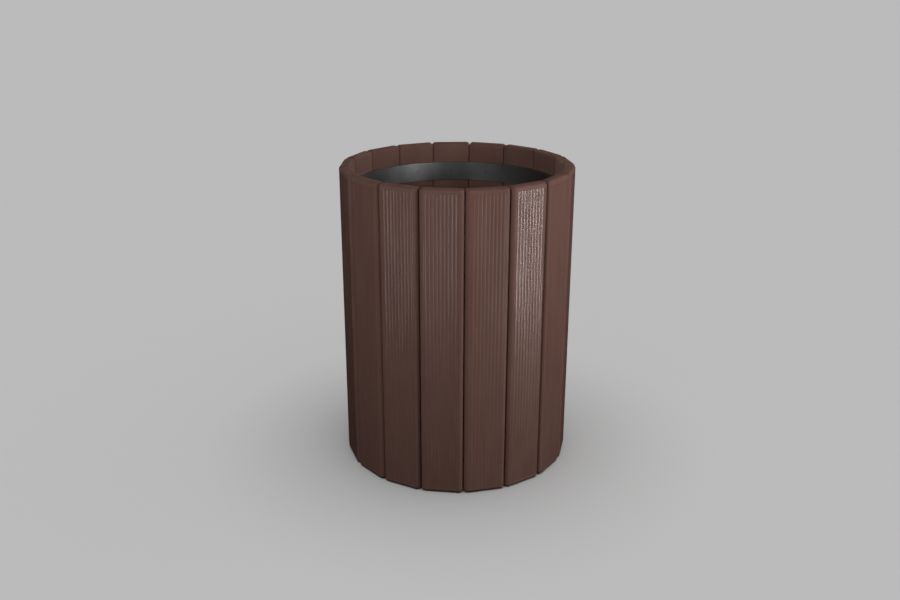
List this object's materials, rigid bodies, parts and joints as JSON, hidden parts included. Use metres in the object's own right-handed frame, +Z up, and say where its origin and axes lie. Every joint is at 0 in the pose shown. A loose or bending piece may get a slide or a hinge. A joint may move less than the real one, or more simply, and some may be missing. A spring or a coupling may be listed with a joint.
{
  "type": "litter bin",
  "caption": "Round open-top litter bin: upright recycled-plastic staves screwed to two steel hoops, with an anchored base plate and a lift-out liner with a bail handle.",
  "frame": {"origin": "on the ground, at the axis of the ring of staves", "axes": "+Z up along the ring's axis, -Y through the middle of the front stave, X along the bail's hinge line"},
  "size_m": [0.5961, 0.5937, 0.78],
  "materials": {
    "stave_plastic": "extruded recycled plastic, brown, with a satin, finely reeded field on the matt outer face",
    "hoop_steel": "satin dark grey coated flat bar",
    "screw_steel": "satin black",
    "plate_steel": "satin dark grey coated plate",
    "liner_zinc": "spangled galvanised sheet",
    "handle_zinc": "galvanised",
    "rivet_steel": "plain bright"
  },
  "bodies": {
    "bin": {"stave_01": "stave_plastic", "stave_02": "stave_plastic", "stave_03": "stave_plastic", "stave_04": "stave_plastic", "stave_05": "stave_plastic", "stave_06": "stave_plastic", "stave_07": "stave_plastic", "stave_08": "stave_plastic", "stave_09": "stave_plastic", "stave_10": "stave_plastic", "stave_11": "stave_plastic", "stave_12": "stave_plastic", "stave_13": "stave_plastic", "stave_14": "stave_plastic", "stave_15": "stave_plastic", "stave_16": "stave_plastic", "stave_17": "stave_plastic", "upper_hoop": "hoop_steel", "lower_hoop": "hoop_steel", "upper_hoop_screws": "screw_steel", "lower_hoop_screws": "screw_steel", "base_plate": "plate_steel", "base_plate_welds": "plate_steel"},
    "liner": {"liner_shell": "liner_zinc", "liner_floor": "liner_zinc", "left_handle_ear": "handle_zinc", "right_handle_ear": "handle_zinc", "ear_rivets": "rivet_steel"},
    "bail": {"liner_handle": "handle_zinc"}
  },
  "joints": [
    {"name": "liner_lift", "type": "slide", "parent": "bin", "child": "liner", "axis": [0, 0, 1], "range_m": [0, 0.8]},
    {"name": "bail_swing", "type": "hinge", "parent": "liner", "child": "bail", "pos_m": [0, 0, 0.63], "axis": [1, 0, 0], "range_deg": [0, 180]}
  ]
}
